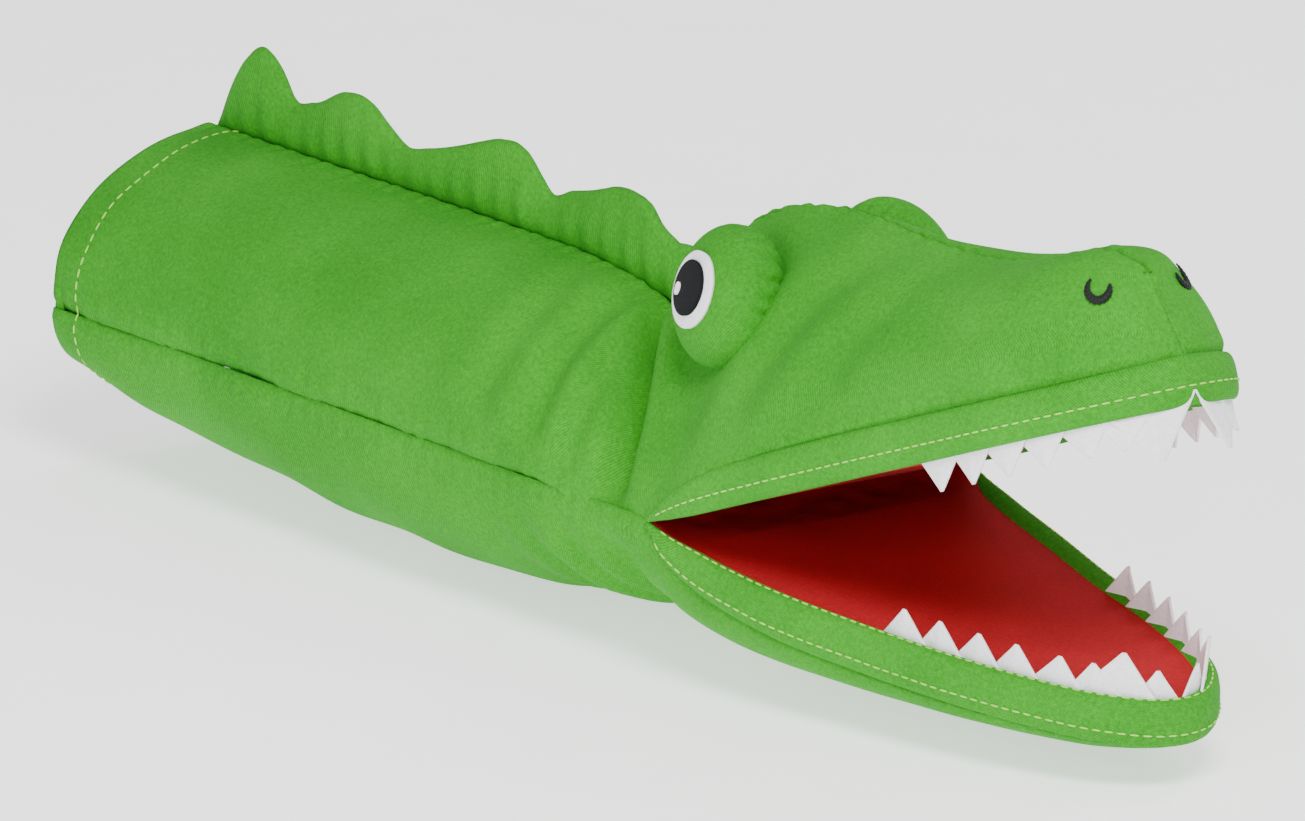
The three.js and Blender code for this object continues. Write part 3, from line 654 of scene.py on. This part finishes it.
# Crest: two layers of green cloth sewn together round a thin filling, standing on the top seam.
# Each place is a share of the sleeve's length, and a share of the tallest point
crest = {"height": 22.0, "length": 246.0, "edge": 0.9, "puff": 2.3, "sunk": 1.2, "columns": 400, "rows": 22,
         "quilting": 9, "leanPitch": 120, "lean": 1.2}
crestPlaces = [
    (0.004, 0.03), (0.02, 0.4), (0.052, 0.9), (0.075, 1), (0.098, 0.84), (0.12, 0.55), (0.16, 0.56),
    (0.22, 0.82), (0.265, 0.82), (0.295, 0.64), (0.33, 0.46), (0.37, 0.52), (0.43, 0.7), (0.452, 0.78),
    (0.486, 0.88), (0.52, 0.85), (0.545, 0.6), (0.56, 0.46), (0.6, 0.56), (0.652, 0.72), (0.677, 0.84),
    (0.719, 0.92), (0.738, 0.9), (0.755, 0.76), (0.786, 0.66), (0.82, 0.52), (0.86, 0.2),
]


def crestGrid():
    # Up one side, over the sewn edge and down the other; it is fullest a third of the way up
    u = np.linspace(crestPlaces[0][0], crestPlaces[-1][0], crest["columns"])
    height = crest["height"] * smoothCurve(crestPlaces)(u)
    x = -crest["length"] + u * crest["length"]
    top = np.interp(x, upperRows[:, 2], upperRows[:, 3])
    rows = crest["rows"]
    v = np.concatenate([np.linspace(0, 1, rows), np.linspace(1, 0, rows)[1:]])
    side = np.sign(np.arange(2 * rows - 1) - (rows - 1))
    rise = -crest["sunk"] + (height[:, None] + crest["sunk"]) * v
    full = crest["puff"] * np.sin(math.pi * np.clip(v, 0, 1) ** 0.75) ** 0.8
    full = full * np.clip(height / 16, 0.2, 1)[:, None]
    quilt = 1 + 0.25 * np.sin(2 * math.pi * x / crest["quilting"])[:, None] * (1 - v)
    quilt = quilt + 0.25 * ripples(x[:, None], 12 * v, 71, longest=40)
    edge = crest["edge"] * (1 - 0.85 * ease(v, 0.93, 1)) + 0 * height[:, None]
    lean = crest["lean"] * np.sin(2 * math.pi * x / crest["leanPitch"] + 0.6)[:, None] * v
    y = side * (edge + full * quilt) + lean
    return np.stack(np.broadcast_arrays(x[:, None], y, top[:, None] + rise), -1)


def addCrest():
    # The folded surface, with its open base filled so that it holds its stuffing
    obj = makeGrid("crest", crestGrid())
    bm = bmesh.new()
    bm.from_mesh(obj.data)
    bmesh.ops.holes_fill(bm, edges=[e for e in bm.edges if e.is_boundary])
    bmesh.ops.recalc_face_normals(bm, faces=bm.faces)
    bm.to_mesh(obj.data)
    bm.free()
    dress(obj, greenTwill, "green_cotton", "crest_wadding", "crest_right_layer", "crest_left_layer")
    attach(obj, "sleeve")


addCrest()
print("crest done")


# Cuff hem: the cloth's end turned inside the opening
hem = {"thickness": 1.0, "edgeAt": -246, "stitchesAt": -236, "smoothing": 3,
       "profile": [(3, -0.7), (0.6, -0.55), (-0.5, -0.9), (-0.5, -1.9), (0.8, -2.5), (5, -2.7), (11, -2.6)]}


def cuffLoop(x):
    # The sleeve's outline at x: right side, left side and belly
    def rowAt(grid):
        # The grid's row whose middle is nearest to x
        return grid[int(np.argmin(np.abs(grid[:, grid.shape[1] // 2, 0] - x)))]

    right, low = rowAt(sideGrid(3)), rowAt(bellyGrid())
    left = mirrorGrid(rowAt(sideGrid(11)))[::-1]
    low = low if low[0, 1] > low[-1, 1] else low[::-1]
    loop = np.concatenate([right, left[1:], low[1:-1]])
    for _ in range(hem["smoothing"]):
        loop = (np.roll(loop, 1, 0) + 2 * loop + np.roll(loop, -1, 0)) / 4
    step = np.roll(loop, -1, 0) - np.roll(loop, 1, 0)
    out = np.stack([0 * step[:, 0], step[:, 2], -step[:, 1]], 1)
    out /= np.linalg.norm(out, axis=1, keepdims=True)
    out *= np.sign((out * loop).sum())
    return loop, out


def addHem():
    # The cuff's outline carried along a profile of (mm along the sleeve, mm outwards)
    loop, out = cuffLoop(hem["edgeAt"])
    places = np.array(hem["profile"])
    grid = loop[None] + places[:, 1][:, None, None] * out[None]
    grid[..., 0] += places[:, 0][:, None]
    obj = makeGrid("cuff_hem", grid, wrap=True)
    bakeModifiers(thicken(obj, hem["thickness"], 0))
    dress(obj, greenTwill, "green_cotton", "right_cuff_hem", "left_cuff_hem", "belly_hem")
    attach(obj, "sleeve")


addHem()
print("hem done")


# Topstitching: short lime threads, each a thin rounded rod lying on the cloth
thread = {"radius": 0.24, "long": 2.2, "spacing": 3.1, "steps": 8, "onBand": 0.62, "onCuff": 0.15,
          "bandRows": {"upper": (13,), "lower": (9, 23)}, "leastBand": 1.5}


def addStitches(name, path, out, body):
    # Rods at even distances along the path, each a ring of sides that closes at both ends
    travel = np.concatenate([[0], np.cumsum(np.linalg.norm(np.diff(path, axis=0), axis=1))])
    at = np.arange(thread["spacing"] / 2, travel[-1], thread["spacing"])
    pick = lambda values: np.stack([np.interp(at, travel, values[:, k]) for k in range(3)], 1)
    centre, up = pick(path), pick(out)
    along = pick(np.gradient(path, axis=0))
    along /= np.linalg.norm(along, axis=1, keepdims=True)
    across = np.cross(along, up)
    steps = thread["steps"]
    turn = np.linspace(0, math.pi, steps)
    about = np.linspace(0, 2 * math.pi, steps, endpoint=False)
    reach = -np.cos(turn) * thread["long"] / 2
    girth = np.sin(turn) ** 0.6 * thread["radius"]
    girth[[0, -1]] = 0
    rods = (centre[:, None, None] + along[:, None, None] * reach[None, :, None, None]
            + girth[None, :, None, None] * (across[:, None, None] * np.cos(about)[None, None, :, None]
                                            + up[:, None, None] * np.sin(about)[None, None, :, None]))
    one = gridFaces(steps, steps, wrap=True)
    faces = np.concatenate([one + i * steps**2 for i in range(len(at))])
    obj = makeMesh(name, rods.reshape(-1, 3) * mm + hinge, faces, merge=True)
    bakeModifiers(obj)
    dress(obj, threadGreen, "green_cotton")
    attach(obj, body)


for level, jaw in jaws.items():
    for number, row in enumerate(thread["bandRows"][level]):
        path, out = jaw["bandGrid"][:, row], normalsOf(jaw["bandGrid"])[:, row]
        # rows on the band's side face away from the middle, and those on its edge face up
        onSide = row < lipBand["rows"] * 0.6
        out = out * np.sign((out[:, 1] * path[:, 1]).sum() if onSide else out[:, 2].sum())
        keep = jaw["edge"]["band"] > thread["leastBand"]
        addStitches(f"{level}_lip_stitching_{number + 1}", (path + out * thread["onBand"])[keep], out[keep],
                    jaw["body"])

loop, out = cuffLoop(hem["stitchesAt"])
loop, out = np.concatenate([loop, loop[:1]]), np.concatenate([out, out[:1]])
addStitches("cuff_stitching", loop + thread["onCuff"] * out, out, "sleeve")
print("stitching done")


# Eyes: a stuffed pad sewn to the head, with felt discs on its face
eye = {
    "centre": np.array([2.0, -23.5, 51.6]), "look": np.array([-0.17, -0.94, 0.29]), "scale": 10.0,
    "profile": [(11.2, 0), (11.1, 5), (10.5, 9.5), (9, 13.4), (6, 16.4), (1.6, 17.7), (-2.6, 17),
                (-5.6, 14.6), (-7.6, 11.6), (-9.6, 8.6), (-11.4, 6), (-12.4, 0)],
    "voxel": 1.5, "cap": 1.6, "pressure": 4.0, "frames": 20, "puckers": 22, "pleatDepth": 0.11,
    "rings": 41, "sides": 64, "mapRadius": 17,
}
# Felt shapes on the eye: half-width and half-height, place on the face, lift off the pad, thickness
eyeFelts = {
    "eye_disc": {"radii": (10, 10), "shift": (0, 0), "lift": 0.5, "thickness": 0.9,
                 "material": whiteFelt, "slot": "eye_felt", "node": "eye_white"},
    "pupil_disc": {"radii": (7.0, 7.0), "shift": (-0.3, 0.2), "lift": 1.25, "thickness": 0.7,
                   "material": blackFelt, "slot": "pupil_felt", "node": "pupil"},
    "glint_disc": {"radii": (1.1, 1.6), "shift": (-4.2, -1.0), "lift": 1.85, "thickness": 0.5,
                   "material": whiteFelt, "slot": "eye_felt", "node": "eye_glint"},
}
feltSteps = {"rings": 14, "sides": 56, "startAt": 13.5}


def eyeAxes():
    # Unit vectors: the look, the level one across it (z cross look), and look cross that
    look = eye["look"] / np.linalg.norm(eye["look"])
    right = np.cross([0, 0, 1], look)
    right /= np.linalg.norm(right)
    return look, right, np.cross(look, right)


def coordinates(obj):
    # The vertices as rows of x, y, z
    flat = np.zeros(len(obj.data.vertices) * 3)
    obj.data.vertices.foreach_get("co", flat)
    return flat.reshape(-1, 3)


def puffed(obj):
    # Cloth under pressure, run at ten times the size so that its stiffness suits a cushion
    before = coordinates(obj)
    cloth = obj.modifiers.new("cloth", "CLOTH")
    cloth.settings.use_pressure = True
    cloth.settings.uniform_pressure_force = eye["pressure"]
    cloth.settings.effector_weights.gravity = 0
    cloth.point_cache.frame_end = eye["frames"]
    for number in range(1, eye["frames"] + 1):
        bpy.context.scene.frame_set(number)
    dg = bpy.context.evaluated_depsgraph_get()
    after = coordinates(obj.evaluated_get(dg))
    obj.modifiers.clear()
    bpy.context.scene.frame_set(1)
    travel = after - before
    far = np.linalg.norm(travel, axis=1, keepdims=True)
    after = before + travel * np.minimum(1, eye["cap"] * mm * eye["scale"] / np.maximum(far, 1e-9))
    obj.data.vertices.foreach_set("co", after.ravel())
    return obj


def padShape():
    # Turned about the look, remeshed, puffed, then gathered in pleats towards the head
    profile = np.array(eye["profile"], float)
    step = np.linspace(0, 1, len(profile))
    fine = np.linspace(0, 1, eye["rings"])
    forward, radius = (smoothCurve(np.stack([step, profile[:, k]], 1))(fine) for k in range(2))
    radius = np.maximum(radius, 0)
    radius[[0, -1]] = 0
    turn = np.linspace(0, 2 * math.pi, eye["sides"], endpoint=False)
    sideways, upward = radius[:, None] * np.cos(turn), radius[:, None] * np.sin(turn)
    points = np.stack([forward[:, None] + 0 * turn, sideways, upward], 2) * mm * eye["scale"]
    obj = makeMesh("right_eye_pad", points, gridFaces(eye["rings"], eye["sides"], wrap=True), merge=True)
    bakeModifiers(obj)
    remesh = obj.modifiers.new("remesh", "REMESH")
    remesh.mode, remesh.voxel_size = "VOXEL", eye["voxel"] * mm * eye["scale"]
    bakeModifiers(obj)
    puffed(obj)
    smooth = obj.modifiers.new("rounder", "SUBSURF")
    smooth.levels = smooth.render_levels = 1
    bakeModifiers(obj)
    p = coordinates(obj) / (mm * eye["scale"])
    angle = np.arctan2(p[:, 2], p[:, 1])
    r = np.hypot(p[:, 1], p[:, 2])
    back = ease(-p[:, 0], -6, 3)
    pleat = np.abs(np.sin(angle * eye["puckers"] / 2 + 0.5 * np.sin(3 * angle) + 0.4 * np.sin(5 * angle)))
    r = r * (1 - eye["pleatDepth"] * back * (1 - pleat**0.45) * (0.7 + 0.3 * np.sin(2 * angle)))
    r = r + 0.3 * ripples(p[:, 1], p[:, 2], 91, longest=24, shortest=9) * ease(r, 8, 14)
    return obj, np.stack([p[:, 0], r * np.cos(angle), r * np.sin(angle)], 1)


def setPoints(obj, points):
    # Rows in mm round the hinge become the vertices in metres
    obj.data.vertices.foreach_set("co", (points * mm + hinge).ravel())
    obj.data.update()
    return obj


def mapPad(obj, points):
    # Cloth laid from the middle of the face: direction across it, times the distance round the pad
    flat = np.linalg.norm(points[:, 1:], axis=1)
    around = eye["mapRadius"] * np.arctan2(flat, points[:, 0])
    spread = points[:, 1:] / np.maximum(flat, 1e-6)[:, None] * around[:, None] * mm
    corners = np.zeros(len(obj.data.loops), int)
    obj.data.loops.foreach_get("vertex_index", corners)
    layer = obj.data.uv_layers.new(name="cloth")
    layer.data.foreach_set("uv", spread[corners].ravel())


def finishPad(obj, side):
    # The pad's cloth and the jaw that it rides on
    obj.data.polygons.foreach_set("use_smooth", [True] * len(obj.data.polygons))
    dress(obj, greenTwill, "green_cotton", f"{side}_eye_cover", f"{side}_eye_wadding")
    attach(obj, "upper_jaw")


def discOn(pad, side, name, felt):
    # A flat felt shape laid on the pad's face: concentric rings, pressed on, then given its thickness
    look, right, up = eyeAxes()
    r, turn = np.meshgrid(np.linspace(0, 1, feltSteps["rings"]),
                          np.linspace(0, 2 * math.pi, feltSteps["sides"], endpoint=False), indexing="ij")
    across = felt["shift"][0] + felt["radii"][0] * r * np.cos(turn)
    above = felt["shift"][1] + felt["radii"][1] * r * np.sin(turn)
    grid = eye["centre"] + feltSteps["startAt"] * look + across[..., None] * right + above[..., None] * up
    grid = grid if side == "right" else mirrorGrid(grid)
    obj = makeGrid(f"{side}_{name}", grid, wrap=True, merge=True)
    lay = obj.modifiers.new("lay", "SHRINKWRAP")
    lay.target, lay.wrap_method, lay.wrap_mode = pad, "NEAREST_SURFACEPOINT", "ABOVE_SURFACE"
    lay.offset = felt["lift"] * mm
    bakeModifiers(thicken(obj, felt["thickness"], 0))
    dress(obj, felt["material"], felt["slot"], f"{side}_{felt['node']}")
    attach(obj, "upper_jaw")


def addEyes():
    # Each point stands at centre + forward * look + across * right + above * up.
    # The left eye mirrors the right one
    rightPad, points = padShape()
    look, right, up = eyeAxes()
    placed = eye["centre"] + points[:, :1] * look + points[:, 1:2] * right + points[:, 2:] * up
    mapPad(rightPad, points)
    leftPad = rightPad.copy()
    leftPad.data = rightPad.data.copy()
    leftPad.name = "left_eye_pad"
    bpy.context.scene.collection.objects.link(leftPad)
    leftPad.data.flip_normals()
    for side, pad, where in (("right", rightPad, placed), ("left", leftPad, placed * [1, -1, 1])):
        finishPad(setPoints(pad, where), side)
        for name, felt in eyeFelts.items():
            discOn(pad, side, name, felt)


addEyes()
print("eyes done")


# Nostrils: a crescent of black satin stitches on each side of the snout
crescent = {"along": 129, "up": 0.5, "radius": 2.7, "tall": 1.25, "girth": 1.15, "lift": 0.35,
            "from": -0.12, "to": 1.25, "steps": 60, "sides": 12, "threads": 90}


def crescentGrid(centre, along, above, out):
    # An arc laid on the skin; its girth swells in the middle and the ridges are the threads
    turn = np.linspace(crescent["from"], crescent["to"], crescent["steps"]) * math.pi
    arc = (centre + crescent["radius"] * np.cos(turn)[:, None] * along
           - crescent["radius"] * crescent["tall"] * np.sin(turn)[:, None] * above)
    tangent = np.gradient(arc, axis=0)
    tangent /= np.linalg.norm(tangent, axis=1, keepdims=True)
    out = np.broadcast_to(out, tangent.shape)
    across = np.cross(tangent, out)
    step = np.linspace(0, 1, crescent["steps"])
    ridges = 1 + 0.12 * np.cos(step * crescent["threads"])
    girth = crescent["girth"] * (0.25 + 0.75 * np.sin(math.pi * step**0.8)) * ridges
    girth[[0, -1]] = 0
    about = np.linspace(0, 2 * math.pi, crescent["sides"], endpoint=False)
    return arc[:, None] + girth[:, None, None] * (across[:, None] * np.cos(about)[:, None]
                                                  + 0.6 * out[:, None] * np.sin(about)[:, None])


def addNostrils():
    # The crescent's axes are the cloth's own at that place: along a row, up it, and out of the cloth
    for side, seed in (("right", 3), ("left", 11)):
        grid = sideGrid(seed)
        i = int(np.argmin(np.abs(grid[:, -1, 0] - crescent["along"])))
        j = int(crescent["up"] * (grid.shape[1] - 1))
        out = normalsOf(grid)[i, j]
        along = grid[i + 4, j] - grid[i - 4, j]
        along /= np.linalg.norm(along)
        above = np.cross(out, along)
        above *= np.sign(above[2])
        out *= np.sign(-out[1])
        shape = crescentGrid(grid[i, j] + out * crescent["lift"], along, above, out)
        shape = shape if side == "right" else mirrorGrid(shape)
        obj = makeGrid(f"{side}_nostril_stitches", shape, wrap=True, merge=True)
        bakeModifiers(obj)
        dress(obj, blackThread, "black_thread", f"{side}_nostril")
        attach(obj, "upper_jaw")


addNostrils()
print("nostrils done")


# Hand pockets: calico tubes with rounded sides, open towards the sleeve and sewn flat at the front
pockets = {
    "finger_pocket": {"start": 14, "length": 98, "halfWidth": 27, "height": 21, "sign": 1,
                      "tilt": upperTilt, "drop": 0, "body": "upper_jaw"},
    "thumb_pocket": {"start": 12, "length": 54, "halfWidth": 16, "height": 13.5, "sign": -1,
                     "tilt": lowerTilt, "drop": 5.6, "body": "lower_jaw"},
}
pocketCloth = {"base": 4.4, "thickness": 0.9, "closing": 16, "rows": 70, "sides": 96, "inset": 0.5}


def pocketGrid(pocket, seed):
    # A flat oval section that closes to a seam over the last stretch
    s, turn = np.meshgrid(np.linspace(0, pocket["length"], pocketCloth["rows"]),
                          np.linspace(0, 2 * math.pi, pocketCloth["sides"], endpoint=False), indexing="ij")
    radius = pocket["height"] / 2 - pocketCloth["inset"]
    straight = pocket["halfWidth"] - pocket["height"] / 2
    closed = ease(s, pocket["length"] - pocketCloth["closing"], pocket["length"])
    gape = np.sqrt(np.clip(1 - closed**2, 0.006, 1))
    y = straight * np.clip(1.6 * np.cos(turn), -1, 1) + radius * np.cos(turn) * gape
    h = radius * np.sin(turn) * gape + 0.35 * ripples(s, turn * 9, seed) * gape
    along = pocket["start"] + s
    level = pocketCloth["base"] + pocket["height"] / 2
    return tilted(along, y, pocket["sign"] * (level + h), pocket["tilt"]) - lowered(pocket["drop"])


for number, (name, pocket) in enumerate(pockets.items()):
    grid = pocketGrid(pocket, 81 + number)
    obj = makeGrid(f"{name}_cloth", grid, wrap=True)
    bakeModifiers(thicken(obj, pocketCloth["thickness"], 0))
    dress(obj, calico, "pocket_lining", name)
    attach(obj, pocket["body"])
print("pockets done")


# Wadding: loose polyester stuffing that keeps the head, snout and chin full
wads = {"head_wadding": ("upper_jaw", 0.75), "snout_wadding": ("upper_jaw", 0.7),
        "chin_wadding": ("lower_jaw", 0.6)}
wadSteps = {"rings": 40, "sides": 64, "lumps": 0.09}


def addWad(name, body, fill, seed):
    # A lumpy ellipsoid inside the room that the stuffing takes up
    low, high = (np.array(corner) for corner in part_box(name))
    up, turn = np.meshgrid(np.linspace(-math.pi / 2, math.pi / 2, wadSteps["rings"]),
                           np.linspace(0, 2 * math.pi, wadSteps["sides"], endpoint=False), indexing="ij")
    ball = np.stack([np.cos(up) * np.cos(turn), np.cos(up) * np.sin(turn), np.sin(up)], 2)
    rough = ripples(ball[..., 0] * 20, ball[..., 1] * 20 + ball[..., 2] * 13, seed, longest=18, shortest=7)
    lumps = 1 + wadSteps["lumps"] * rough
    lumps[[0, -1]] = 1
    grid = ball * lumps[..., None] * (high - low) / 2 * fill + (high + low) / 2
    faces = gridFaces(wadSteps["rings"], wadSteps["sides"], wrap=True)
    obj = makeMesh(f"{name}_stuffing", grid, faces, merge=True)
    bakeModifiers(obj)
    dress(obj, wool, "wadding", name)
    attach(obj, body)


for number, (name, (body, fill)) in enumerate(wads.items()):
    addWad(name, body, fill, 51 + number)

# The stiffening boards keep their CAD shape and get a board finish
for name in ("upper_board", "lower_board"):
    board = frame["nodes"][name]
    for place in board.material_slots:
        place.material = brownBoard
print("stuffing and boards done")


# Camera, light and floor
# Angles in degrees, the distance in metres, and in mm how wide the view is and its aim from the hinge
view = {"azimuth": 54.4, "elevation": 15.0, "distance": 8.0, "wide": 312.201, "across": -37.201,
        "above": 19.019, "sensor": 36}


def addCamera():
    # It stands back along (sin a cos e, -cos a cos e, sin e), so far off that the view is nearly parallel
    a, e = math.radians(view["azimuth"]), math.radians(view["elevation"])
    back = np.array([math.sin(a) * math.cos(e), -math.cos(a) * math.cos(e), math.sin(e)])
    right = np.array([math.cos(a), math.sin(a), 0])
    up = np.cross(back, right)
    target = hinge + (right * view["across"] + up * view["above"]) * mm
    data = bpy.data.cameras.new("camera")
    data.sensor_width = view["sensor"]
    data.lens = view["sensor"] * view["distance"] / (view["wide"] * mm)
    data.clip_end = 100
    cam = bpy.data.objects.new("camera", data)
    cam.location = target + back * view["distance"]
    cam.rotation_mode = "QUATERNION"
    cam.rotation_quaternion = Vector(-back).to_track_quat("-Z", "Y")
    bpy.context.scene.collection.objects.link(cam)
    bpy.context.scene.camera = cam


def addLight(name, place, size, power):
    # A round lamp turned to the middle of the puppet
    data = bpy.data.lights.new(name, "AREA")
    data.shape, data.size, data.energy = "DISK", size, power
    lamp = bpy.data.objects.new(name, data)
    lamp.location = place
    lamp.rotation_mode = "QUATERNION"
    lamp.rotation_quaternion = (Vector((0, 0, 0.05)) - Vector(place)).to_track_quat("-Z", "Y")
    bpy.context.scene.collection.objects.link(lamp)


lamps = {
    "key": {"place": (1.1, -0.5, 1.35), "size": 0.7, "power": 35},
    "fill": {"place": (0.7, -1.5, 0.45), "size": 1.0, "power": 14},
    "rim": {"place": (-0.2, 1.3, 1.3), "size": 1.0, "power": 10},
}
stage = {"size": 12, "below": 0.0004, "glow": 1.0, "world": 0.5}


def addStage():
    # A flat sheet of matt white studio paper, with a fine tooth, that glows a little
    material, tree, out = newMaterial("mattBackgroundPaper")
    place = addNode(tree, "ShaderNodeTexCoord").outputs["Object"]
    grain = addNode(tree, "ShaderNodeTexNoise", Vector=place, Scale=1 / (25 * mm), Detail=3.0).outputs["Fac"]
    shade = addNode(tree, "ShaderNodeValToRGB", stops=[(0.3, "#f2f2f1"), (0.7, "#f6f6f5")],
                    n0=grain).outputs["Color"]
    shader = addNode(tree, "ShaderNodeBsdfPrincipled", Base_Color=shade)
    shader.inputs["Roughness"].default_value = 0.95
    shader.inputs["Emission Color"].default_value = (1, 1, 1, 1)
    shader.inputs["Emission Strength"].default_value = stage["glow"]
    tree.links.new(shader.outputs[0], out.inputs[0])
    x, y = stage["size"] * np.array([[-1, 1, 1, -1], [-1, -1, 1, 1]])
    corners = np.stack([x, y, np.full(4, -stage["below"])], 1)
    floor = makeMesh("floor", corners, np.array([[0, 1, 2, 3]]))
    floor.data.materials.append(material)
    world = bpy.data.worlds.new("studio")
    bpy.context.scene.world = world
    world.use_nodes = True
    world.node_tree.nodes["Background"].inputs[0].default_value = (1, 1, 1, 1)
    world.node_tree.nodes["Background"].inputs[1].default_value = stage["world"]


addCamera()
addStage()
for name, lamp in lamps.items():
    addLight(name, **lamp)
print("camera, light and floor done")
